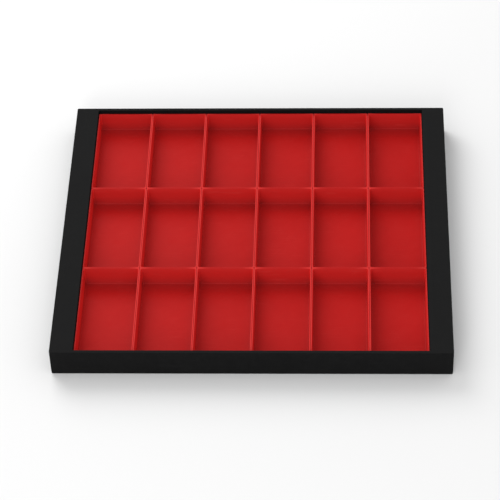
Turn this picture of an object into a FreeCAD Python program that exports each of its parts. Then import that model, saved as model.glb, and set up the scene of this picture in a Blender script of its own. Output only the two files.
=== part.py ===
import FreeCAD, Part
import os
import Sketcher

# Divider insert: a foam surround that holds a block of loose moulded bins. Millimetres, +Z up,
# +X from left to right, +Y from the front row to the back row. The origin is the middle of
# the underside.

doc = FreeCAD.newDocument("DrawerInsert")
sheet = doc.addObject("Spreadsheet::Sheet", "Sizes")

# Driving sizes: alias, value, meaning
sizes = [
    ("columns", 6, "bins from left to right"),
    ("rows", 3, "bins from front to back"),
    ("pitchAcross", 75, "middle of one bin to the middle of the next, across"),
    ("pitchAlong", 150, "middle of one bin to the middle of the next, front to back"),
    ("binGap", 0.3, "free space between the rims of two neighbours"),
    ("binHeight", 30, "foot to rim of a bin"),
    ("wallThickness", 1.3, "bin wall"),
    ("floorThickness", 1.8, "bin floor"),
    ("draftAngle", 2.5, "lean of the bin walls, in degrees"),
    ("outerCornerRadius", 0.8, "upright outer corners of a bin"),
    ("floorFillet", 1.5, "hollow round between the walls and the floor"),
    ("footChamfer", 0.5, "eased edge under the outside of a bin"),
    ("footRecess", 1.2, "depth of the hollow under a bin, which leaves a foot all round"),
    ("footInset", 6, "from the outside of the foot to that hollow"),
    ("recessCornerRadius", 3, "corners of that hollow"),
    ("windowClearance", 0.5, "between the block of bins and the foam, each side"),
    ("sideBand", 30, "foam left and right of the bins"),
    ("endBand", 4.5, "foam in front of and behind the bins"),
    ("standUp", 6, "top of the foam above the bin rims"),
    ("baseThickness", 4, "foam sheet under the bins"),
    ("foamCornerRadius", 2, "upright outer corners of the foam"),
]
for line, (alias, value, meaning) in enumerate(sizes, start=1):
    sheet.set("A%d" % line, alias)
    sheet.set("B%d" % line, str(value))
    sheet.set("C%d" % line, meaning)
    sheet.setAlias("B%d" % line, alias)
doc.recompute()

# Sizes that follow from the driving ones
binAcross = "(Sizes.pitchAcross - Sizes.binGap)"
binAlong = "(Sizes.pitchAlong - Sizes.binGap)"
lean = "tan(Sizes.draftAngle * 1deg)"
footShrink = "2 * Sizes.binHeight * " + lean
cavityDepth = "(Sizes.binHeight - Sizes.footRecess - Sizes.floorThickness)"
cavityShrink = "(2 * Sizes.wallThickness + 2 * " + cavityDepth + " * " + lean + ")"
hollowShrink = "(" + footShrink + " + 2 * Sizes.footInset)"
windowAcross = "(Sizes.columns * Sizes.pitchAcross - Sizes.binGap + 2 * Sizes.windowClearance)"
windowAlong = "(Sizes.rows * Sizes.pitchAlong - Sizes.binGap + 2 * Sizes.windowClearance)"
foamAcross = windowAcross + " + 2 * Sizes.sideBand"
foamAlong = windowAlong + " + 2 * Sizes.endBand"

near = 0.001  # two lengths closer than this are the same


def newBody(label):
    body = doc.addObject("PartDesign::Body", label)
    body.Label = label
    return body


def rectangleSketch(body, name, across, along, height=None):
    """A centred rectangle on the body's horizontal plane, raised by the expression height."""
    sketch = body.newObject("Sketcher::SketchObject", name)
    plane = [feature for feature in body.Origin.OriginFeatures if feature.Role == "XY_Plane"][0]
    sketch.AttachmentSupport = [(plane, "")]
    sketch.MapMode = "FlatFace"
    if height:
        sketch.setExpression("AttachmentOffset.Base.z", height)
    corners = [FreeCAD.Vector(x, y, 0) for x, y in ((-1, -1), (1, -1), (1, 1), (-1, 1))]
    for side in range(4):
        following = (side + 1) % 4
        sketch.addGeometry(Part.LineSegment(corners[side], corners[following]), False)
    for side in range(4):
        following = (side + 1) % 4
        sketch.addConstraint(Sketcher.Constraint("Coincident", side, 2, following, 1))
        direction = "Horizontal" if side % 2 == 0 else "Vertical"
        sketch.addConstraint(Sketcher.Constraint(direction, side))
    sketch.addConstraint(Sketcher.Constraint("Symmetric", 0, 1, 1, 2, -1, 1))
    width = sketch.addConstraint(Sketcher.Constraint("DistanceX", 0, 1, 0, 2, 2))
    depth = sketch.addConstraint(Sketcher.Constraint("DistanceY", 1, 1, 1, 2, 2))
    sketch.renameConstraint(width, "across")
    sketch.renameConstraint(depth, "along")
    sketch.setExpression("Constraints.across", across)
    sketch.setExpression("Constraints.along", along)
    return sketch


def addPad(body, sketch, name, length):
    pad = body.newObject("PartDesign::Pad", name)
    pad.Profile = sketch
    pad.setExpression("Length", length)
    doc.recompute()
    return pad


def addPocket(body, sketch, name, depth, upwards=False):
    before = body.Tip.Shape.Volume
    pocket = body.newObject("PartDesign::Pocket", name)
    pocket.Profile = sketch
    pocket.Reversed = upwards
    pocket.setExpression("Length", depth)
    doc.recompute()
    if not pocket.Shape.Volume < before - near:
        raise RuntimeError(name + " cut nothing")
    return pocket


def spans(shape, low, high):
    """True for a face or an edge that reaches exactly from one height to the other."""
    box = shape.BoundBox
    return abs(box.ZMin - low) < near and abs(box.ZMax - high) < near


def numbered(kind, shapes, wanted):
    names = [kind + str(n) for n, shape in enumerate(shapes, start=1) if wanted(shape)]
    if not names:
        raise RuntimeError("no %s found" % kind)
    return names


def addDraft(body, name, walls, neutral, outside):
    """Lean the walls that the test picks about the face, at the height neutral, that stays."""
    base = body.Tip
    faces = base.Shape.Faces
    draft = body.newObject("PartDesign::Draft", name)
    draft.Base = (base, numbered("Face", faces, walls))
    draft.NeutralPlane = (base, numbered("Face", faces, lambda face: spans(face, neutral, neutral)))
    draft.Reversed = outside
    draft.setExpression("Angle", "Sizes.draftAngle")
    doc.recompute()
    return draft


def addEdgeFeature(body, kind, name, field, size, wanted):
    """Fillet or chamfer every edge that the test picks on the body's last feature."""
    base = body.Tip
    feature = body.newObject("PartDesign::" + kind, name)
    feature.Base = (base, numbered("Edge", base.Shape.Edges, wanted))
    feature.setExpression(field, size)
    doc.recompute()
    return feature


def addFillet(body, name, radius, wanted):
    return addEdgeFeature(body, "Fillet", name, "Radius", radius, wanted)


def addChamfer(body, name, size, wanted):
    return addEdgeFeature(body, "Chamfer", name, "Size", size, wanted)


# The form of every bin: a drafted box, hollowed from above, with a foot ring underneath
def makeBinForm():
    body = newBody("binForm")
    rim = float(sheet.binHeight)
    recess = float(sheet.footRecess)
    cavityFloor = recess + float(sheet.floorThickness)

    outline = rectangleSketch(
        body, "FootOutline", binAcross + " - " + footShrink, binAlong + " - " + footShrink)
    addPad(body, outline, "Block", "Sizes.binHeight")
    addDraft(body, "OuterDraft", lambda face: spans(face, 0, rim), 0, outside=True)
    addFillet(body, "OuterCorners", "Sizes.outerCornerRadius", lambda edge: spans(edge, 0, rim))
    addChamfer(body, "FootChamfer", "Sizes.footChamfer", lambda edge: spans(edge, 0, 0))

    floorOutline = rectangleSketch(
        body, "FloorOutline", binAcross + " - " + cavityShrink, binAlong + " - " + cavityShrink,
        "Sizes.binHeight")
    addPocket(body, floorOutline, "Cavity", cavityDepth)
    addDraft(
        body, "CavityDraft", lambda face: spans(face, cavityFloor, rim), cavityFloor, outside=False)
    addFillet(
        body, "FloorFillet", "Sizes.floorFillet",
        lambda edge: spans(edge, cavityFloor, cavityFloor))

    hollow = rectangleSketch(
        body, "FootHollow", binAcross + " - " + hollowShrink, binAlong + " - " + hollowShrink)
    addPocket(body, hollow, "FootRecess", "Sizes.footRecess", upwards=True)
    addFillet(body, "RecessCorners", "Sizes.recessCornerRadius", lambda edge: spans(edge, 0, recess))
    return body


# One bin of the block: a copy of the form, set in its row and column on the foam base
def makeBin(form, row, column):
    label = "bin_row%d_column%d" % (row, column)
    body = newBody(label)
    copy = body.newObject("PartDesign::FeatureBase", label + "_copy")
    copy.BaseFeature = form
    body.Tip = copy
    body.setExpression(
        "Placement.Base.x", "(%d - (Sizes.columns + 1) / 2) * Sizes.pitchAcross" % column)
    body.setExpression(
        "Placement.Base.y", "(%d - (Sizes.rows + 1) / 2) * Sizes.pitchAlong" % row)
    body.setExpression("Placement.Base.z", "Sizes.baseThickness")
    return body


# The sheet that closes the surround underneath and that the bins stand on
def makeFoamBase():
    body = newBody("foam_base")
    outline = rectangleSketch(body, "BaseOutline", foamAcross, foamAlong)
    addPad(body, outline, "BaseSheet", "Sizes.baseThickness")
    thickness = float(sheet.baseThickness)
    addFillet(
        body, "BaseCorners", "Sizes.foamCornerRadius", lambda edge: spans(edge, 0, thickness))
    return body


# The thick sheet with the window for the bins, bonded to the base
def makeFoamFrame():
    body = newBody("foam_frame")
    outline = rectangleSketch(body, "FrameOutline", foamAcross, foamAlong)
    addPad(body, outline, "FrameSheet", "Sizes.binHeight + Sizes.standUp")
    thickness = float(sheet.binHeight) + float(sheet.standUp)
    addFillet(
        body, "FrameCorners", "Sizes.foamCornerRadius", lambda edge: spans(edge, 0, thickness))
    window = rectangleSketch(body, "Window", windowAcross, windowAlong)
    addPocket(body, window, "WindowCut", "Sizes.binHeight + Sizes.standUp", upwards=True)
    body.setExpression("Placement.Base.z", "Sizes.baseThickness")
    return body


pieces = [makeFoamBase(), makeFoamFrame()]
binForm = makeBinForm()
for row in range(1, int(sheet.rows) + 1):
    for column in range(1, int(sheet.columns) + 1):
        pieces.append(makeBin(binForm, row, column))
doc.recompute()

# Nothing is written unless every object and every piece is sound
for item in doc.Objects:
    if "Invalid" in item.State or "Error" in item.State:
        raise RuntimeError(item.Label + " failed")
for piece in pieces:
    if piece.Shape.isNull() or not piece.Shape.isValid() or len(piece.Shape.Solids) != 1:
        raise RuntimeError(piece.Label + " is not one sound solid")

os.makedirs("parts", exist_ok=True)
for piece in pieces:
    piece.Shape.exportStep("parts/" + piece.Label + ".step")
    print("%-18s %9.1f mm3" % (piece.Label, piece.Shape.Volume))
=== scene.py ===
import math

import bpy
from mathutils import Matrix, Vector


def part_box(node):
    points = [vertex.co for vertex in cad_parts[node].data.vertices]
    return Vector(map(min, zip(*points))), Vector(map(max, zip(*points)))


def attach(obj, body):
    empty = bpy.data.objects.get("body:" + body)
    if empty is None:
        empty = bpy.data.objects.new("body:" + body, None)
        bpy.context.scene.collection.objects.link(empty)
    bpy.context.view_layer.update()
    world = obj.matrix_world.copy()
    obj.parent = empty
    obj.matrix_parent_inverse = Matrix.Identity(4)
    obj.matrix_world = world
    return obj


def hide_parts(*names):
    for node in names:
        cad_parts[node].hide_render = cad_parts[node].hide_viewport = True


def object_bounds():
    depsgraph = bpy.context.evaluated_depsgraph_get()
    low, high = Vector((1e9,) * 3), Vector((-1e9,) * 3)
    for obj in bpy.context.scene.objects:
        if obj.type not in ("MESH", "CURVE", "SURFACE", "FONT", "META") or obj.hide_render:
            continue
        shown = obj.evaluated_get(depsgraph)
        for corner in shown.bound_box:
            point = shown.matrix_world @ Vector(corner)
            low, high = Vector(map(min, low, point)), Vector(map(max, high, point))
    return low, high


# Divider insert: loose red moulded bins in the window of a charcoal foam surround.
# Metres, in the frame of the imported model.

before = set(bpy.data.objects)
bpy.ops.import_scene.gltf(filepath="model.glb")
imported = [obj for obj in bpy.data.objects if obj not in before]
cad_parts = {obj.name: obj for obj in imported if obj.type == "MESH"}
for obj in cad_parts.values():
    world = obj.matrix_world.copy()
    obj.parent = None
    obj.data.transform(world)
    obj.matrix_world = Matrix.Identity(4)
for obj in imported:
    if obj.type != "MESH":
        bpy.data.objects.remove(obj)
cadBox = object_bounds()
mm = 0.001
binNodes = sorted(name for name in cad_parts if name.startswith("bin_"))
print("frame loaded:", len(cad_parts), "pieces")


# Node helpers, used by the shape trees and by the materials alike

class Wire:
    # an output socket that can stand in a formula
    def __init__(self, tree, socket):
        self.tree = tree
        self.socket = socket

    def maths(self, operation, *others):
        node = self.tree.nodes.new("ShaderNodeMath")
        node.operation = operation
        for slot, value in zip(node.inputs, (self,) + others):
            feed(self.tree, slot, value)
        return Wire(self.tree, node.outputs[0])

    def __add__(self, other):
        return self.maths("ADD", other)

    def __sub__(self, other):
        return self.maths("SUBTRACT", other)

    def __mul__(self, other):
        return self.maths("MULTIPLY", other)

    def __truediv__(self, other):
        return self.maths("DIVIDE", other)

    def __pow__(self, other):
        return self.maths("POWER", other)

    def least(self, other):
        return self.maths("MINIMUM", other)

    def most(self, other):
        return self.maths("MAXIMUM", other)

    def size(self):
        return self.maths("ABSOLUTE")

    def squared(self):
        return self * self

    def clamped(self, low, high):
        return self.most(low).least(high)

    def flipped(self):
        # a mask turned round: 0 where it was 1, and 1 where it was 0
        return self * -1 + 1


def feed(tree, slot, value):
    if isinstance(value, Wire):
        tree.links.new(value.socket, slot)
    else:
        slot.default_value = value


def addNode(tree, kind, inputs=None, **settings):
    node = tree.nodes.new(kind)
    for name, value in settings.items():
        setattr(node, name, value)
    for name, value in (inputs or {}).items():
        feed(tree, node.inputs[name], value)
    return node


def wire(node, output=0):
    return Wire(node.id_data, node.outputs[output])


def join3(tree, x, y, z):
    return wire(addNode(tree, "ShaderNodeCombineXYZ", {"X": x, "Y": y, "Z": z}))


def split3(vector):
    node = addNode(vector.tree, "ShaderNodeSeparateXYZ", {"Vector": vector})
    return [wire(node, axis) for axis in ("X", "Y", "Z")]


def smoothRamp(value, low, high):
    # 0 below low, 1 above high, with soft ends
    settings = {"Value": value, "From Min": low, "From Max": high}
    node = addNode(value.tree, "ShaderNodeMapRange", settings, interpolation_type="SMOOTHSTEP")
    return wire(node, "Result")


def newTree(name, kind, inputs, outputs):
    tree = bpy.data.node_groups.new(name, kind)
    for label, socketType, value in inputs:
        socket = tree.interface.new_socket(label, in_out="INPUT", socket_type=socketType)
        if value is not None:
            socket.default_value = value
    for label, socketType in outputs:
        tree.interface.new_socket(label, in_out="OUTPUT", socket_type=socketType)
    entry = tree.nodes.new("NodeGroupInput")
    leave = tree.nodes.new("NodeGroupOutput")
    given = {label: wire(entry, label) for label, _, _ in inputs}
    return tree, given, leave


# Shape trees. Every form here is a stack of rounded rectangles. A section, drawn as a
# curve of (inset, 0, height), says how far each ring of the stack is set in.
facets = {
    "length": 0.7 * mm,  # of one facet of a rounded edge
    "fewest": 4,  # facets in a rounded edge
    "most": 9,
    "weld": 0.001 * mm,  # points that lie closer than this become one
}


def positionOf(tree):
    return wire(addNode(tree, "GeometryNodeInputPosition"))


def stepToNext(tree, curve):
    # distance from each point of a closed curve to the one after it
    index = wire(addNode(tree, "GeometryNodeInputIndex"))
    size = addNode(tree, "GeometryNodeAttributeDomainSize", component="CURVE")
    tree.links.new(curve.socket, size.inputs["Geometry"])
    after = (index + 1).maths("MODULO", wire(size, "Point Count"))
    here = positionOf(tree)
    there = addNode(tree, "GeometryNodeFieldAtIndex", data_type="FLOAT_VECTOR")
    feed(tree, there.inputs["Index"], after)
    feed(tree, there.inputs["Value"], here)
    gap = addNode(tree, "ShaderNodeVectorMath", operation="DISTANCE")
    feed(tree, gap.inputs[0], here)
    feed(tree, gap.inputs[1], wire(there))
    return wire(gap, "Value")


def subdivided(tree, curve, spacing):
    # points no further apart than the spacing; the points that are there stay
    cuts = (stepToNext(tree, curve) / spacing).maths("FLOOR")
    return wire(addNode(tree, "GeometryNodeSubdivideCurve", {"Curve": curve, "Cuts": cuts}))


def captured(tree, geometry, label, value, kind="VECTOR"):
    node = addNode(tree, "GeometryNodeCaptureAttribute", domain="POINT")
    node.capture_items.new(kind, label)
    feed(tree, node.inputs["Geometry"], geometry)
    feed(tree, node.inputs[label], value)
    return wire(node, "Geometry"), wire(node, label)


def named(tree, geometry, label, value, kind="FLOAT"):
    # keeps a value on the mesh, under a name that its material reads
    node = addNode(tree, "GeometryNodeStoreNamedAttribute", {"Name": label}, data_type=kind)
    feed(tree, node.inputs["Geometry"], geometry)
    feed(tree, node.inputs["Value"], value)
    return wire(node)


def pickByIndex(tree, dataType, values):
    # the first value on the first point, the second on the second, and so on
    index = wire(addNode(tree, "GeometryNodeInputIndex"))
    node = addNode(tree, "GeometryNodeIndexSwitch", {"Index": index}, data_type=dataType)
    while len(node.index_switch_items) < len(values):
        node.index_switch_items.new()
    for place, value in enumerate(values):
        feed(tree, node.inputs[place + 1], value)
    return wire(node)


def sectionCurve(tree, corners, closed, spacing):
    # corners: (inset, height, rounding, upright corner radius) in order round the section
    places = [join3(tree, inset, 0, height) for inset, height, _, _ in corners]
    roundings = pickByIndex(tree, "FLOAT", [corner[2] for corner in corners])
    uprights = pickByIndex(tree, "FLOAT", [corner[3] for corner in corners])
    line = wire(addNode(tree, "GeometryNodeMeshLine", {"Count": len(corners)}))
    line, rounding = captured(tree, line, "rounding", roundings, "FLOAT")
    line, upright = captured(tree, line, "upright", uprights, "FLOAT")
    moved = {"Geometry": line, "Position": pickByIndex(tree, "VECTOR", places)}
    line = wire(addNode(tree, "GeometryNodeSetPosition", moved))
    curve = wire(addNode(tree, "GeometryNodeMeshToCurve", {"Mesh": line}))
    cyclic = {"Geometry": curve, "Cyclic": closed}
    curve = wire(addNode(tree, "GeometryNodeSetSplineCyclic", cyclic))
    steps = (rounding / facets["length"]).maths("CEIL").clamped(facets["fewest"], facets["most"])
    arcs = {"Curve": curve, "Count": steps, "Radius": rounding, "Limit Radius": True}
    curve = wire(addNode(tree, "GeometryNodeFilletCurve", arcs, mode="POLY"))
    curve = subdivided(tree, curve, spacing)
    curve, ring = captured(tree, curve, "ring", positionOf(tree))
    return curve, ring, upright


def roundedLoop(tree, cornerSteps, sideCuts):
    # one turn round a square from -1 to 1: where each point is along its side, and which
    # way it faces, both for x and for y
    corner = 0.5
    straightEnd = 1 - corner
    square = {"Width": 2, "Height": 2}
    curve = wire(addNode(tree, "GeometryNodeCurvePrimitiveQuadrilateral", square))
    arcs = {"Curve": curve, "Count": cornerSteps, "Radius": corner}
    curve = wire(addNode(tree, "GeometryNodeFilletCurve", arcs, mode="POLY"))
    straight = stepToNext(tree, curve).maths("GREATER_THAN", corner)
    cuts = {"Curve": curve, "Cuts": straight * sideCuts}
    curve = wire(addNode(tree, "GeometryNodeSubdivideCurve", cuts))
    curve, place = captured(tree, curve, "place", positionOf(tree))
    along, facing = [], []
    for axis in split3(place)[:2]:
        onSide = axis.clamped(-straightEnd, straightEnd)
        along.append(onSide / straightEnd)
        facing.append((axis - onSide) / corner)
    return curve, along, facing


def sweptRings(tree, section, loop):
    rings = {"Curve": loop, "Profile Curve": section}
    return wire(addNode(tree, "GeometryNodeCurveToMesh", rings))


def ringPlace(halves, upright, along, facing):
    # a point of a ring with these half sizes and this corner radius
    corner = upright.least(halves[0]).least(halves[1])
    return [along[axis] * (halves[axis] - corner) + facing[axis] * corner for axis in (0, 1)]


def closedForm(tree, mesh, place):
    mesh = wire(addNode(tree, "GeometryNodeSetPosition", {"Geometry": mesh, "Position": place}))
    near = {"Geometry": mesh, "Distance": facets["weld"]}
    mesh = wire(addNode(tree, "GeometryNodeMergeByDistance", near))
    return wire(addNode(tree, "GeometryNodeSetShadeSmooth", {"Geometry": mesh}))


def finishTree(tree, mesh, material, leave):
    mesh = wire(addNode(tree, "GeometryNodeRealizeInstances", {"Geometry": mesh}))
    dressed = {"Geometry": mesh, "Material": material}
    feed(tree, leave.inputs[0], wire(addNode(tree, "GeometryNodeSetMaterial", dressed)))


def keepResult(piece):
    # what the modifiers made becomes the piece's own plain mesh
    graph = bpy.context.evaluated_depsgraph_get()
    graph.update()
    mesh = bpy.data.meshes.new_from_object(piece.evaluated_get(graph), depsgraph=graph)
    piece.modifiers.clear()
    piece.data = mesh


def grow(name, tree, values):
    # a piece from a shape tree, with these values on the tree's inputs
    piece = bpy.data.objects.new(name, bpy.data.meshes.new(name))
    bpy.context.scene.collection.objects.link(piece)
    modifier = piece.modifiers.new("shape", "NODES")
    modifier.node_group = tree
    sockets = {item.name: item.identifier for item in tree.interface.items_tree
               if item.in_out == "INPUT"}
    for label, value in values.items():
        modifier[sockets[label]] = value
    keepResult(piece)
    piece.modifiers.new("normals", "WEIGHTED_NORMAL").keep_sharp = True
    keepResult(piece)
    piece.data.name = name
    return piece


# Moulded bin
binSizes = {
    "wall": 1.3 * mm,
    "floor": 1.8 * mm,
    "lean": math.radians(2.5),  # of the walls
    "outerCorner": 0.8 * mm,
    "innerCorner": 2 * mm,
    "floorRound": 1.5 * mm,
    "rimRound": 0.25 * mm,
    "footRound": 0.5 * mm,
    "footWidth": 6 * mm,
    "footRecess": 1.2 * mm,
    "recessCorner": 3 * mm,
    "bow": 0.06 * mm,  # how far a wall pulls in between its corners, at the rim
    "leastBow": 0.35,  # the wall that pulls in least, as a share of that
    "shortBow": 0.5,  # a short wall, as a share of a long one
    "bowRise": 1.6,  # power by which the pull grows from the foot to the rim
    "gateAcross": 3.2 * mm,
    "gateTaper": 0.84,  # the broken end of the stub, as a share of its root
    "gateStub": 0.5 * mm,
    "gateRoot": 0.2 * mm,  # how deep the stub sits in the floor
    "gateSteps": 24,
    "cornerSteps": 7,  # of the mesh, round an upright corner
    "sideCuts": 15,
    "spacing": 8 * mm,
}


def makeBinTree():
    distance = "NodeSocketFloat"
    tree, given, leave = newTree("mouldedBin", "GeometryNodeTree", [
        ("Across", distance, 74.7 * mm),
        ("Along", distance, 149.7 * mm),
        ("Height", distance, 30 * mm),
        ("Wall", distance, binSizes["wall"]),
        ("Floor", distance, binSizes["floor"]),
        ("Lean", distance, binSizes["lean"]),
        ("Outer Corner", distance, binSizes["outerCorner"]),
        ("Inner Corner", distance, binSizes["innerCorner"]),
        ("Floor Round", distance, binSizes["floorRound"]),
        ("Rim Round", distance, binSizes["rimRound"]),
        ("Foot Round", distance, binSizes["footRound"]),
        ("Foot Width", distance, binSizes["footWidth"]),
        ("Foot Recess", distance, binSizes["footRecess"]),
        ("Recess Corner", distance, binSizes["recessCorner"]),
        ("Bow", distance, binSizes["bow"]),
        ("Gate Across", distance, binSizes["gateAcross"]),
        ("Gate Stub", distance, binSizes["gateStub"]),
        ("Middle", "NodeSocketVector", None),
        ("Seed", "NodeSocketInt", 0),
        ("Material", "NodeSocketMaterial", None),
    ], [("Geometry", "NodeSocketGeometry")])

    height, wall, recess = given["Height"], given["Wall"], given["Foot Recess"]
    inner, outer, hollow = given["Inner Corner"], given["Outer Corner"], given["Recess Corner"]
    slope = given["Lean"].maths("TANGENT")
    floorTop = recess + given["Floor"]
    floorInset = wall + (height - floorTop) * slope
    footInset = height * slope
    recessInset = footInset + given["Foot Width"]
    middle = given["Across"] * 0.5
    zero = height * 0
    small = given["Rim Round"]
    section, ring, upright = sectionCurve(tree, [
        (middle, floorTop, zero, inner),
        (floorInset, floorTop, given["Floor Round"], inner),
        (wall, height, small, inner),
        (zero, height, small, outer),
        (footInset, zero, given["Foot Round"], outer),
        (recessInset, zero, small, hollow),
        (recessInset, recess, small, hollow),
        (middle, recess, zero, hollow),
    ], False, binSizes["spacing"])
    loop, along, facing = roundedLoop(tree, binSizes["cornerSteps"], binSizes["sideCuts"])
    mesh = sweptRings(tree, section, loop)

    inset, _, level = split3(ring)
    halves = [given["Across"] * 0.5 - inset, given["Along"] * 0.5 - inset]
    x, y = ringPlace(halves, upright, along, facing)

    # each wall pulls in by its own amount between its corners, most at the rim
    lift = (level / height) ** binSizes["bowRise"]
    side = facing[0].maths("SIGN") + facing[1].maths("SIGN") * 3  # one number for each wall
    own = addNode(tree, "FunctionNodeRandomValue", {"ID": side, "Seed": given["Seed"]})
    own.inputs[2].default_value = binSizes["leastBow"]
    own.inputs[3].default_value = 1.0
    pull = wire(own, 1) * given["Bow"] * lift
    x = x - facing[0] * pull * along[1].squared().flipped()
    y = y - facing[1] * pull * along[0].squared().flipped() * binSizes["shortBow"]
    mesh = closedForm(tree, mesh, join3(tree, x, y, level))

    # the stub that the sprue leaves in the middle of the underside
    root = binSizes["gateRoot"]
    stubSize = {
        "Vertices": binSizes["gateSteps"],
        "Radius Top": given["Gate Across"] * (0.5 * binSizes["gateTaper"]),
        "Radius Bottom": given["Gate Across"] * 0.5,
        "Depth": given["Gate Stub"] + root,
    }
    stub = wire(addNode(tree, "GeometryNodeMeshCone", stubSize))
    upsideDown = {"Geometry": stub, "Rotation": join3(tree, math.pi, 0, 0),
                  "Translation": join3(tree, 0, 0, recess + root)}
    stub = wire(addNode(tree, "GeometryNodeTransform", upsideDown))
    both = tree.nodes.new("GeometryNodeJoinGeometry")
    feed(tree, both.inputs[0], mesh)
    feed(tree, both.inputs[0], stub)

    mesh = named(tree, wire(both), "inBin", positionOf(tree), "FLOAT_VECTOR")
    # one draw for the whole bin: any ID does that stays clear of the walls' numbers
    tone = addNode(tree, "FunctionNodeRandomValue", {"ID": 7, "Seed": given["Seed"]})
    mesh = named(tree, mesh, "tone", wire(tone, 1))
    placed = {"Geometry": mesh, "Translation": given["Middle"]}
    mesh = wire(addNode(tree, "GeometryNodeTransform", placed))
    finishTree(tree, mesh, given["Material"], leave)
    return tree


def makeBins(material):
    tree = makeBinTree()
    for seed, node in enumerate(binNodes):
        low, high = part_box(node)
        middle = (low + high) / 2
        piece = grow(node.replace("bin_", "moulded_bin_"), tree, {
            "Across": high.x - low.x,
            "Along": high.y - low.y,
            "Height": high.z - low.z,
            "Middle": (middle.x, middle.y, low.z),
            "Seed": seed,
            "Material": material,
        })
        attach(piece, node)
        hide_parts(node)
    print("bins made:", len(binNodes))


# Foam surround: a thick sheet with the window, glued on a thin bottom sheet
foamSizes = {
    "clearance": 0.5 * mm,  # between the window and the bins
    "edgeRound": 0.4 * mm,
    "windowRound": 0.35 * mm,
    "gluedRound": 0.2 * mm,  # of the edges that lie on the bottom sheet
    "outerCorner": 2 * mm,
    "windowCorner": 0.6 * mm,
    "edgeStrip": 1.2 * mm,  # beside an edge, as wide on a narrow band as on a wide one
    "wave": 0.25 * mm,  # how far the cutting blade wandered
    "longWaves": 22.0,  # noise scale; the short waves take what the long ones leave
    "shortWaves": 160.0,
    "longShare": 0.75,
    "seam": 0.25 * mm,  # the bottom sheet stands back this far under the thick one
    "sheetRound": 0.5 * mm,
    "cornerSteps": 6,  # of the mesh, round an upright corner
    "sideCuts": 110,
    "spacing": 4 * mm,
    "sheetSideCuts": 60,
    "sheetSpacing": 6 * mm,
}


def offsetByNoise(tree, mesh, amount):
    # cut foam is never quite flat: it gives way inwards in long, shallow waves
    def waves(scale, detail):
        inputs = {"Vector": positionOf(tree), "Scale": scale, "Detail": detail}
        return wire(addNode(tree, "ShaderNodeTexNoise", inputs))

    share = foamSizes["longShare"]
    depth = waves(foamSizes["longWaves"], 1) * share
    depth = (depth + waves(foamSizes["shortWaves"], 2) * (1 - share)) * amount
    inward = addNode(tree, "ShaderNodeVectorMath", operation="SCALE")
    feed(tree, inward.inputs[0], wire(addNode(tree, "GeometryNodeInputNormal")))
    feed(tree, inward.inputs["Scale"], depth * -1)
    moved = {"Geometry": mesh, "Offset": wire(inward)}
    return wire(addNode(tree, "GeometryNodeSetPosition", moved))


def makeFrameTree():
    distance = "NodeSocketFloat"
    tree, given, leave = newTree("foamFrame", "GeometryNodeTree", [
        ("Across", distance, 510.7 * mm),
        ("Along", distance, 459.7 * mm),
        ("Low", distance, 4 * mm),
        ("High", distance, 40 * mm),
        ("Side Band", distance, 30 * mm),
        ("End Band", distance, 4.5 * mm),
        ("Edge Round", distance, foamSizes["edgeRound"]),
        ("Window Round", distance, foamSizes["windowRound"]),
        ("Outer Corner", distance, foamSizes["outerCorner"]),
        ("Window Corner", distance, foamSizes["windowCorner"]),
        ("Spacing", distance, foamSizes["spacing"]),
        ("Wave", distance, foamSizes["wave"]),
        ("Material", "NodeSocketMaterial", None),
    ], [("Geometry", "NodeSocketGeometry")])
    low, high, band = given["Low"], given["High"], given["Side Band"]
    outer, window = given["Outer Corner"], given["Window Corner"]
    glued = band * 0 + foamSizes["gluedRound"]
    section, ring, upright = sectionCurve(tree, [
        (band, low, glued, window),
        (band, high, given["Window Round"], window),
        (band * 0, high, given["Edge Round"], outer),
        (band * 0, low, glued, outer),
    ], True, given["Spacing"])
    loop, along, facing = roundedLoop(tree, foamSizes["cornerSteps"], foamSizes["sideCuts"])
    mesh = sweptRings(tree, section, loop)

    # the end bands are narrower than the side bands: their rings keep the same edges, and
    # what lies between the edges is drawn together
    inset, _, level = split3(ring)
    strip = foamSizes["edgeStrip"]
    nearOuter = inset.least(strip)
    nearWindow = (inset - (band - strip)).most(0)
    between = ((inset - strip) / (band - 2 * strip)).clamped(0, 1)
    endInset = nearOuter + nearWindow + between * (given["End Band"] - 2 * strip)
    halves = [given["Across"] * 0.5 - inset, given["Along"] * 0.5 - endInset]
    x, y = ringPlace(halves, upright, along, facing)
    mesh = closedForm(tree, mesh, join3(tree, x, y, level))
    mesh = offsetByNoise(tree, mesh, given["Wave"])

    # 1 on the cut sides, 0 on the skin on top
    cut = smoothRamp(level, high - given["Edge Round"], high).flipped()
    finishTree(tree, named(tree, mesh, "cut", cut), given["Material"], leave)
    return tree


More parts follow.
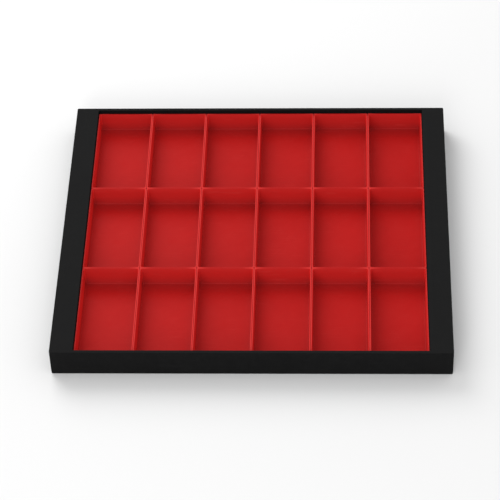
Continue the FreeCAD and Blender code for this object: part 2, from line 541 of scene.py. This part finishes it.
def makeSheetTree():
    distance = "NodeSocketFloat"
    tree, given, leave = newTree("foamSheet", "GeometryNodeTree", [
        ("Across", distance, 510.7 * mm),
        ("Along", distance, 459.7 * mm),
        ("Low", distance, 0.0),
        ("High", distance, 4 * mm),
        ("Stand Back", distance, foamSizes["seam"]),
        ("Edge Round", distance, foamSizes["sheetRound"]),
        ("Outer Corner", distance, foamSizes["outerCorner"]),
        ("Spacing", distance, foamSizes["sheetSpacing"]),
        ("Material", "NodeSocketMaterial", None),
    ], [("Geometry", "NodeSocketGeometry")])
    low, high, back = given["Low"], given["High"], given["Stand Back"]
    outer, edge = given["Outer Corner"], given["Edge Round"]
    middle = given["Along"] * 0.5
    section, ring, upright = sectionCurve(tree, [
        (middle, high, back * 0, outer),
        (back, high, edge, outer),
        (back, low, edge, outer),
        (middle, low, back * 0, outer),
    ], False, given["Spacing"])
    steps, cuts = foamSizes["cornerSteps"], foamSizes["sheetSideCuts"]
    loop, along, facing = roundedLoop(tree, steps, cuts)
    mesh = sweptRings(tree, section, loop)
    inset, _, level = split3(ring)
    halves = [given["Across"] * 0.5 - inset, given["Along"] * 0.5 - inset]
    x, y = ringPlace(halves, upright, along, facing)
    mesh = closedForm(tree, mesh, join3(tree, x, y, level))
    cut = smoothRamp(inset, back, back + edge).flipped()
    finishTree(tree, named(tree, mesh, "cut", cut), given["Material"], leave)
    return tree


def makeFoam(blockMaterial, sheetMaterial):
    low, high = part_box("foam_frame")
    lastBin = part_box(binNodes[-1])[1]
    surround = grow("foam_surround", makeFrameTree(), {
        "Across": high.x - low.x,
        "Along": high.y - low.y,
        "Low": low.z,
        "High": high.z,
        "Side Band": high.x - lastBin.x - foamSizes["clearance"],
        "End Band": high.y - lastBin.y - foamSizes["clearance"],
        "Material": blockMaterial,
    })
    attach(surround, "surround")
    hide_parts("foam_frame")
    print("foam surround made:", len(surround.data.polygons), "faces")

    low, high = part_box("foam_base")
    sheet = grow("foam_bottom_sheet", makeSheetTree(), {
        "Across": high.x - low.x,
        "Along": high.y - low.y,
        "Low": low.z,
        "High": high.z,
        "Material": sheetMaterial,
    })
    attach(sheet, "surround")
    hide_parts("foam_base")
    print("foam bottom sheet made:", len(sheet.data.polygons), "faces")


# Effects that more than one material uses. A pair called "span" is the part of a noise
# over which its mask goes from 0 to 1.
wear = {
    "driftSpan": (0.3, 0.7),
    "hairlineTurns": (0.3, 1.25, 2.2),  # the directions of the hairlines, in radians
    "hairlineAlong": 0.02,  # scale of the noise along a hairline, where that across is 1
    "hairlineThrough": 0.15,  # and into the surface
    "hairlineSpan": (0.66, 0.74),
    "patchScale": 35,  # hairlines come in patches
    "patchSpan": (0.42, 0.62),
    "speckSpan": (0.72, 0.8),
    "settledScale": 60,  # where dust has settled
    "settledSpan": (0.4, 0.6),
    "coarseGrain": 0.3,  # scale of the coarse grain, as a share of that of the fine grain
    "coarseShare": 0.4,
    "cellBend": 0.5 * mm,  # how far the walls of the foam's cells stray
    "cellBendScale": 0.7,
    "cellSpan": (0.02, 0.22),
}


def noise(vector, scale, detail=2.0):
    inputs = {"Vector": vector, "Scale": scale, "Detail": detail}
    return wire(addNode(vector.tree, "ShaderNodeTexNoise", inputs))


def stretched(vector, turn, scale):
    inputs = {"Vector": vector, "Rotation": (0, 0, turn), "Scale": scale}
    return wire(addNode(vector.tree, "ShaderNodeMapping", inputs))


def makeColourDrift():
    # soft blotches, from 0 to 1
    tree, given, leave = newTree("colourDrift", "ShaderNodeTree", [
        ("Vector", "NodeSocketVector", None),
        ("Scale", "NodeSocketFloat", 12.0),
    ], [("Drift", "NodeSocketFloat")])
    blotches = noise(given["Vector"], given["Scale"])
    feed(tree, leave.inputs["Drift"], smoothRamp(blotches, *wear["driftSpan"]))
    return tree


def makeHandlingMarks():
    # hairlines in three directions, in patches, and specks of dust
    tree, given, leave = newTree("handlingMarks", "ShaderNodeTree", [
        ("Vector", "NodeSocketVector", None),
        ("Hairline Scale", "NodeSocketFloat", 1300.0),
        ("Speck Scale", "NodeSocketFloat", 2200.0),
    ], [("Hairlines", "NodeSocketFloat"), ("Dust", "NodeSocketFloat")])
    place = given["Vector"]
    fine = given["Hairline Scale"]
    scale = join3(tree, fine * wear["hairlineAlong"], fine, fine * wear["hairlineThrough"])
    sets = []
    for turn in wear["hairlineTurns"]:
        streaks = noise(stretched(place, turn, scale), 1.0, 1.0)
        sets.append(smoothRamp(streaks, *wear["hairlineSpan"]))
    hairlines = sets[0].most(sets[1]).most(sets[2])
    patches = smoothRamp(noise(place, wear["patchScale"]), *wear["patchSpan"])
    specks = smoothRamp(noise(place, given["Speck Scale"], 0.0), *wear["speckSpan"])
    settled = smoothRamp(noise(place, wear["settledScale"]), *wear["settledSpan"])
    feed(tree, leave.inputs["Hairlines"], hairlines * patches)
    feed(tree, leave.inputs["Dust"], specks * settled)
    return tree


def makeFineGrain():
    # the surface of the mould or the skin of the foam: a shallow height, from 0 to 1
    tree, given, leave = newTree("fineGrain", "ShaderNodeTree", [
        ("Vector", "NodeSocketVector", None),
        ("Scale", "NodeSocketFloat", 2500.0),
    ], [("Height", "NodeSocketFloat")])
    share = wear["coarseShare"]
    coarse = noise(given["Vector"], given["Scale"] * wear["coarseGrain"], 1.0)
    fine = noise(given["Vector"], given["Scale"], 1.0)
    feed(tree, leave.inputs["Height"], coarse * share + fine * (1 - share))
    return tree


def makeFoamCells():
    # cut cells: how deep inside its cell a point is, from 0 on a wall to 1, and a tone
    # that each cell has to itself
    tree, given, leave = newTree("foamCells", "ShaderNodeTree", [
        ("Vector", "NodeSocketVector", None),
        ("Scale", "NodeSocketFloat", 1200.0),
    ], [("Depth", "NodeSocketFloat"), ("Own Tone", "NodeSocketFloat")])
    inputs = {"Vector": given["Vector"], "Scale": given["Scale"] * wear["cellBendScale"]}
    bent = addNode(tree, "ShaderNodeTexNoise", inputs)
    shift = addNode(tree, "ShaderNodeVectorMath", operation="MULTIPLY_ADD")
    feed(tree, shift.inputs[0], wire(bent, "Color"))
    feed(tree, shift.inputs[1], (wear["cellBend"],) * 3)
    feed(tree, shift.inputs[2], given["Vector"])
    inputs = {"Vector": wire(shift), "Scale": given["Scale"]}
    walls = addNode(tree, "ShaderNodeTexVoronoi", inputs, feature="DISTANCE_TO_EDGE")
    cells = addNode(tree, "ShaderNodeTexVoronoi", inputs, feature="F1")
    depth = smoothRamp(wire(walls, "Distance"), *wear["cellSpan"])
    feed(tree, leave.inputs["Depth"], depth)
    feed(tree, leave.inputs["Own Tone"], split3(wire(cells, "Color"))[0])
    return tree


def newMaterial(name):
    material = bpy.data.materials.new(name)
    material.use_nodes = True
    tree = material.node_tree
    shader = tree.nodes["Principled BSDF"]
    place = wire(tree.nodes.new("ShaderNodeTexCoord"), "Object")
    return material, tree, shader, place


def useEffect(group, vector, values=None):
    inputs = {"Vector": vector, **(values or {})}
    return addNode(vector.tree, "ShaderNodeGroup", inputs, node_tree=group)


def kept(tree, label, output):
    # a value that the shape tree kept on the mesh
    return wire(addNode(tree, "ShaderNodeAttribute", attribute_name=label), output)


def mixed(factor, first, second):
    # the first colour where the factor is 0, the second where it is 1
    node = addNode(factor.tree, "ShaderNodeMix", data_type="RGBA")
    for slot, value in ((0, factor), (6, first), (7, second)):
        feed(factor.tree, node.inputs[slot], value)
    return wire(node, 2)


def bumped(height, depth, under=None):
    # relief of the height, from 0 to 1, that is this deep
    node = addNode(height.tree, "ShaderNodeBump", {"Height": height, "Distance": depth})
    if under:
        feed(height.tree, node.inputs["Normal"], under)
    return wire(node)


# Red moulded plastic of the bins. A pair called "ramp" is where a mask begins and where
# it is whole.
plastic = {
    "deep": (0.455, 0.0098, 0.0092, 1),
    "bright": (0.49, 0.0124, 0.0116, 1),
    "ownTone": 0.4,  # how much of the tone is the bin's own, and not drift
    "driftScale": 13.0,
    "wallLitThrough": (0.54, 0.0195, 0.018, 1),  # painted light: paler than the floor, as if light came through
    "wallLitThroughTop": 6 * mm,  # the height from which a wall is as pale as that
    "litThrough": (0.73, 0.0245, 0.0225, 1),  # painted light: the long sides paler, as if the light were behind them
    "litRamp": (5 * mm, 11 * mm),  # in height
    "longSideRamp": (3.4 * mm, 2.6 * mm),  # in from the rim's outside
    "shortSideRamp": (2.4 * mm, 1.6 * mm),
    "rim": (0.655, 0.034, 0.031, 1),  # painted highlight on the rim, on the long sides and at the corners
    "rimRamp": (0.7 * mm, 0.2 * mm),  # down from the top of the rim
    # how far from the corners the painted highlight reaches along the short sides
    "highlitCorner": 20 * mm,
    "shadedRimMiddles": 0.75,  # painted shade: how far the middles of the short sides of the rim keep the deep tone
    "topLightBand": 10 * mm,  # painted light: the walls grow paler towards the rim
    "topLight": 0.25,
    "paintedShade": (0.37, 0.02, 0.0205, 1),  # painted shade along the foot of the walls, where they shadow the floor
    "shadeBand": (16 * mm, 22 * mm),  # in from the long and from the short sides
    "shadeOnFloor": (0.15, 0.55),  # how much, along the long and along the short sides
    "shadeInCorner": 0.15,  # added where the two bands meet
    "seamBand": 3.2 * mm,  # a narrower band, on the round between floor and walls
    "shadeInSeam": (0.3, 0.6),
    "hairline": (0.6, 0.045, 0.04, 1),
    "hairlineShow": 0.3,
    "hairlineDepth": 0.15,  # as a share of the depth of the marks
    "dust": (0.5, 0.09, 0.082, 1),
    "dustShow": 0.4,
    "roughness": 0.42,  # of clean plastic; what lies on it adds to that
    "rougher": {"hairlines": 0.12, "dust": 0.2, "drift": 0.06, "blush": 0.08},
    "specular": 0.05,
    "grainScale": 2600.0,
    "grainDepth": 0.012 * mm,
    "markDepth": 0.12 * mm,
    "ejectorAcross": 6 * mm,
    "ejectorShare": (0.34, 0.4),  # of the bin's width and length, from the middle
    "ejectorRamp": (0.1 * mm, 0.3 * mm),  # away from the ring
    "undersideRamp": (1.6 * mm, 2.4 * mm),  # in height, inside the floor
    "blushRamp": (3 * mm, 9 * mm),  # dull spot round the gate, out from its middle
    "blushScale": 300,  # of the noise that makes its edge uneven
    "blushStray": 4 * mm,
}


def beside(axis, half, ramp):
    # 1 on the walls at both ends of an axis, where half is the way to the rim's outside
    return smoothRamp(axis.size(), half - ramp[0], half - ramp[1])


def paintedShadeMask(inBin, low, high):
    # painted shade, where the walls shadow the floor: most along the short sides of the floor
    # and in its corners, some along the long sides, up the walls and in the round at their foot
    x, y, level = split3(inBin)
    seam, floorRound = plastic["seamBand"], binSizes["floorRound"]
    floorTop = binSizes["footRecess"] + binSizes["floor"]
    drawnIn = binSizes["wall"] + (high.z - low.z - floorTop) * math.tan(binSizes["lean"])
    sides, seams = [], []
    for n, axis in enumerate((x, y)):
        foot = (high[n] - low[n]) / 2 - drawnIn
        sides.append(beside(axis, foot, (plastic["shadeBand"][n], 0)))
        seams.append(beside(axis, foot, (seam, floorRound)))
    up = smoothRamp(level, floorTop, floorTop + plastic["shadeBand"][0]).flipped()
    upSeam = smoothRamp(level, floorTop + floorRound, floorTop + seam).flipped()
    onFloor = [side * much for side, much in zip(sides, plastic["shadeOnFloor"])]
    inSeam = [side * much for side, much in zip(seams, plastic["shadeInSeam"])]
    corner = sides[0] * sides[1] * plastic["shadeInCorner"]
    floorShade = (onFloor[0].most(onFloor[1]) + corner) * up
    return floorShade.most(inSeam[0].most(inSeam[1]) * upSeam)


def plasticColour(tree, inBin, low, high, drift, hairlines, dust):
    x, y, level = split3(inBin)
    rim = high.z - low.z
    halfAcross, halfAlong = (high.x - low.x) / 2, (high.y - low.y) / 2
    floorTop = binSizes["footRecess"] + binSizes["floor"]
    own = plastic["ownTone"]

    longSide = beside(x, halfAcross, plastic["longSideRamp"])
    # painted highlight on the rim, but for the middles of the short sides
    middles = beside(x, halfAcross, (plastic["highlitCorner"], 0)).flipped()
    # painted shade on the middles of the short sides of the rim
    shadedRimMiddles = beside(y, halfAlong, plastic["shortSideRamp"]) * middles
    edge = smoothRamp(level, rim - plastic["rimRamp"][0], rim - plastic["rimRamp"][1])
    # painted light, paler towards the rim
    topLight = smoothRamp(level, rim - plastic["topLightBand"], rim) * plastic["topLight"]
    # painted light: the walls paler than the floor from this height up
    wallLitMask = smoothRamp(level, floorTop, plastic["wallLitThroughTop"])
    # painted light: the long sides paler still, as if lit from behind
    lit = longSide * smoothRamp(level, *plastic["litRamp"])
    tone = drift * (1 - own) + kept(tree, "tone", "Fac") * own

    colour = mixed(tone, plastic["deep"], plastic["bright"])
    for mask, layer in (
            (wallLitMask, "wallLitThrough"),
            (lit, "litThrough"),
            (topLight.most(edge * shadedRimMiddles.flipped()), "rim"),
            (edge * shadedRimMiddles * plastic["shadedRimMiddles"], "deep"),
            # painted shade along the foot of the walls and in the corners
            (paintedShadeMask(inBin, low, high), "paintedShade"),
            (hairlines * plastic["hairlineShow"], "hairline"),
            (dust * plastic["dustShow"], "dust")):
        colour = mixed(mask, colour, plastic[layer])
    return colour


def makePlastic(effects):
    material, tree, shader, place = newMaterial("redMouldedPlastic")
    low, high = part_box(binNodes[0])
    inBin = kept(tree, "inBin", "Vector")
    x, y, level = split3(inBin)
    drift = wire(useEffect(effects["drift"], place, {"Scale": plastic["driftScale"]}), "Drift")
    grain = wire(useEffect(effects["grain"], place, {"Scale": plastic["grainScale"]}), "Height")
    marks = useEffect(effects["marks"], place)
    hairlines, dust = wire(marks, "Hairlines"), wire(marks, "Dust")
    colour = plasticColour(tree, inBin, low, high, drift, hairlines, dust)
    feed(tree, shader.inputs["Base Color"], colour)

    # the gate leaves a dull spot, and the ejector pins leave rings under the bin
    reach = (x.squared() + y.squared()) ** 0.5
    uneven = noise(place, plastic["blushScale"]) * plastic["blushStray"]
    blush = smoothRamp(reach + uneven, *plastic["blushRamp"]).flipped()
    pinX = x.size() - (high.x - low.x) * plastic["ejectorShare"][0]
    pinY = y.size() - (high.y - low.y) * plastic["ejectorShare"][1]
    off = ((pinX.squared() + pinY.squared()) ** 0.5 - plastic["ejectorAcross"] * 0.5).size()
    ring = smoothRamp(off, *plastic["ejectorRamp"]).flipped()
    under = smoothRamp(level, *plastic["undersideRamp"]).flipped()

    more = plastic["rougher"]
    rough = hairlines * more["hairlines"] + dust * more["dust"] + drift * more["drift"]
    rough = rough + blush * more["blush"] + plastic["roughness"]
    feed(tree, shader.inputs["Roughness"], rough)
    relief = bumped(grain, plastic["grainDepth"])
    height = hairlines * -plastic["hairlineDepth"] + ring * under * -1 + 1
    relief = bumped(height, plastic["markDepth"], relief)
    feed(tree, shader.inputs["Normal"], relief)
    shader.inputs["Specular IOR Level"].default_value = plastic["specular"]
    print("bin plastic made")
    return material


# Charcoal foam: a closed skin on top, and open cells where it was cut
foamLook = {
    "skin": (0.0078, 0.0078, 0.008, 1),
    "skinPale": (0.0103, 0.0103, 0.0104, 1),
    "ownTone": 0.4,  # how much of the skin's tone is that of its cells, and not drift
    "driftScale": 9.0,
    # the cut sides: dark open cells, and darker still as painted shade
    "cut": (0.0015, 0.0015, 0.0016, 1),
    "cutPale": (0.004, 0.004, 0.0041, 1),
    "fuzzAndEdgeHighlight": (0.02, 0.02, 0.0203, 1),  # torn cell walls, and along the edges torn cells with a painted highlight
    "cellWallShow": 0.3,
    "edgeShow": 0.6,
    "lint": (0.06, 0.058, 0.056, 1),
    "lintShow": 0.35,
    "skinCells": 1700.0,
    "cutCells": 850.0,
    "hairlineScale": 700.0,
    "speckScale": 1500.0,
    "skinDepth": 0.05 * mm,
    "cellDip": 0.5,  # how far a cell and a hairline go down into the skin, as shares
    "hairlineDip": 0.3,
    "cutDepth": 0.3 * mm,
    "roughness": 0.84,
    "driftRougher": 0.08,
    "hairlineSmoother": 0.1,
    "specular": 0.1,
    "pressed": (0.017, 0.017, 0.0175, 1),  # where the feet of the bins have pressed
    "pressedShow": 0.7,
    "pressedSmoother": 0.2,
    "pressedFlatter": 0.6,
    "footWidth": 6 * mm,
    "innerRamp": (0.6 * mm, 0),  # further in than the foot, where its print begins
    "outerRamp": (-0.4 * mm, 0.3 * mm),  # out from the foot's outside
    "topRamp": (2 * mm, 1 * mm),  # down from the top of the sheet
}


def footprints(tree, place):
    # 1 where the foot rings of the bins have pressed the sheet
    low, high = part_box(binNodes[0])
    nextAcross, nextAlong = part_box("bin_row1_column2")[0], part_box("bin_row2_column1")[0]
    drawnIn = (high.z - low.z) * math.tan(binSizes["lean"])
    where = split3(place)
    past = None  # how far past the foot's outside a point lies, and below 0 within it
    for axis, pitch in enumerate((nextAcross.x - low.x, nextAlong.y - low.y)):
        middle = (low[axis] + high[axis]) / 2
        half = (high[axis] - low[axis]) / 2 - drawnIn
        turns = ((where[axis] - middle) / pitch + 0.5).maths("FRACT") - 0.5
        beyond = (turns * pitch).size() - half
        past = beyond if past is None else past.most(beyond)
    foot = foamLook["footWidth"]
    inner = [-foot - distance for distance in foamLook["innerRamp"]]
    top = [low.z - distance for distance in foamLook["topRamp"]]
    inside = smoothRamp(past, *inner) * smoothRamp(past, *foamLook["outerRamp"]).flipped()
    return inside * smoothRamp(where[2], *top)


def makeFoamMaterial(name, effects, pressed):
    look = foamLook
    material, tree, shader, place = newMaterial(name)
    cut = kept(tree, "cut", "Fac")
    drift = wire(useEffect(effects["drift"], place, {"Scale": look["driftScale"]}), "Drift")
    skinCells = useEffect(effects["cells"], place, {"Scale": look["skinCells"]})
    cutCells = useEffect(effects["cells"], place, {"Scale": look["cutCells"]})
    scales = {"Hairline Scale": look["hairlineScale"], "Speck Scale": look["speckScale"]}
    marks = useEffect(effects["marks"], place, scales)
    skinTone, skinDeep = wire(skinCells, "Own Tone"), wire(skinCells, "Depth")
    cutTone, cutDeep = wire(cutCells, "Own Tone"), wire(cutCells, "Depth")
    hairlines, dust = wire(marks, "Hairlines"), wire(marks, "Dust")

    tone = drift * (1 - look["ownTone"]) + skinTone * look["ownTone"]
    skin = mixed(tone, look["skin"], look["skinPale"])
    sides = mixed(cutTone, look["cut"], look["cutPale"])
    cellWalls = cutDeep * -look["cellWallShow"] + look["cellWallShow"]
    sides = mixed(cellWalls, sides, look["fuzzAndEdgeHighlight"])
    # cut sides: open cells, darker still by painted shade
    colour = mixed(cut, skin, sides)
    edge = cut * cut.flipped() * 4  # 1 halfway between the skin and the cut
    # torn cells and a painted highlight along the rounded edges
    colour = mixed(edge * skinTone * look["edgeShow"], colour, look["fuzzAndEdgeHighlight"])
    colour = mixed(dust * look["lintShow"], colour, look["lint"])
    rough = drift * look["driftRougher"] + hairlines * -look["hairlineSmoother"]
    rough = rough + look["roughness"]
    height = skinDeep * -look["cellDip"] + hairlines * -look["hairlineDip"] + 1
    if pressed:
        prints = footprints(tree, place) * cut.flipped()
        colour = mixed(prints * look["pressedShow"], colour, look["pressed"])
        rough = rough - prints * look["pressedSmoother"]
        height = height * (prints * -look["pressedFlatter"] + 1)
    relief = bumped(height * cut.flipped(), look["skinDepth"])
    relief = bumped((cutDeep * cut).flipped(), look["cutDepth"], relief)
    feed(tree, shader.inputs["Base Color"], colour)
    feed(tree, shader.inputs["Roughness"], rough)
    feed(tree, shader.inputs["Normal"], relief)
    shader.inputs["Specular IOR Level"].default_value = look["specular"]
    print("foam finish made:", name)
    return material


# Studio: a pale floor under an even sky, one lamp low in front and one high behind
studio = {
    "floorTone": 0.86,
    "floorRoughness": 0.8,
    "floorHalf": 14.0,
    "floorGap": 0.2 * mm,  # between the floor and the insert's underside
    "skyStrength": 0.74,
    "lamps": {
        # where each stands, how wide it is and how strong; all point at the middle
        "frontLamp": ((-0.35, -2.68, 1.26), 1.4, 26.0),
        "backLamp": ((-1.2, 1.82, 1.8), 2.0, 38.5),
    },
}


def makeFloor():
    mesh = bpy.data.meshes.new("floor")
    half = studio["floorHalf"]
    level = cadBox[0].z - studio["floorGap"]
    turns = ((-1, -1), (1, -1), (1, 1), (-1, 1))
    mesh.from_pydata([(x * half, y * half, level) for x, y in turns], [], [(0, 1, 2, 3)])
    floor = bpy.data.objects.new("floor", mesh)
    bpy.context.scene.collection.objects.link(floor)
    material = bpy.data.materials.new("paleFloor")
    material.use_nodes = True
    shader = material.node_tree.nodes["Principled BSDF"]
    shader.inputs["Base Color"].default_value = (studio["floorTone"],) * 3 + (1,)
    shader.inputs["Roughness"].default_value = studio["floorRoughness"]
    mesh.materials.append(material)


def makeSky():
    # white to the camera, and a little less than that as a light
    world = bpy.data.worlds.new("studio")
    bpy.context.scene.world = world
    world.use_nodes = True
    tree = world.node_tree
    sky = tree.nodes["Background"]
    sky.inputs["Color"].default_value = (1, 1, 1, 1)
    seen = wire(tree.nodes.new("ShaderNodeLightPath"), "Is Camera Ray")
    strength = studio["skyStrength"]
    feed(tree, sky.inputs["Strength"], seen * (1 - strength) + strength)


def makeLamps():
    for name, (place, size, power) in studio["lamps"].items():
        lamp = bpy.data.lights.new(name, "AREA")
        lamp.shape = "DISK"
        lamp.size = size
        lamp.energy = power
        holder = bpy.data.objects.new(name, lamp)
        bpy.context.scene.collection.objects.link(holder)
        place = Vector(place)
        turn = (-place).to_track_quat("-Z", "Y").to_matrix().to_4x4()
        holder.matrix_world = Matrix.Translation(place) @ turn


# Camera: from the front, looking down at the insert, a little from its right
view = {
    "place": (0.1169, -2.1841, 2.2112),
    "down": math.radians(45.47),
    "left": math.radians(2.31),
    "lens": 167.24,
    "sensor": 36.0,
}


def makeCamera():
    data = bpy.data.cameras.new("camera")
    data.lens = view["lens"]
    data.sensor_width = view["sensor"]
    camera = bpy.data.objects.new("camera", data)
    bpy.context.scene.collection.objects.link(camera)
    tilt = Matrix.Rotation(math.pi / 2 - view["down"], 4, "X")
    turn = Matrix.Rotation(view["left"], 4, "Y")
    camera.matrix_world = Matrix.Translation(Vector(view["place"])) @ tilt @ turn
    bpy.context.scene.camera = camera
    print("camera made")


effects = {
    "drift": makeColourDrift(),
    "marks": makeHandlingMarks(),
    "grain": makeFineGrain(),
    "cells": makeFoamCells(),
}
makeCamera()
makeFloor()
makeSky()
makeLamps()
bpy.context.scene.view_settings.view_transform = "Standard"
print("studio made")
makeBins(makePlastic(effects))
makeFoam(makeFoamMaterial("charcoalFoamBlock", effects, False),
         makeFoamMaterial("charcoalFoamSheet", effects, True))
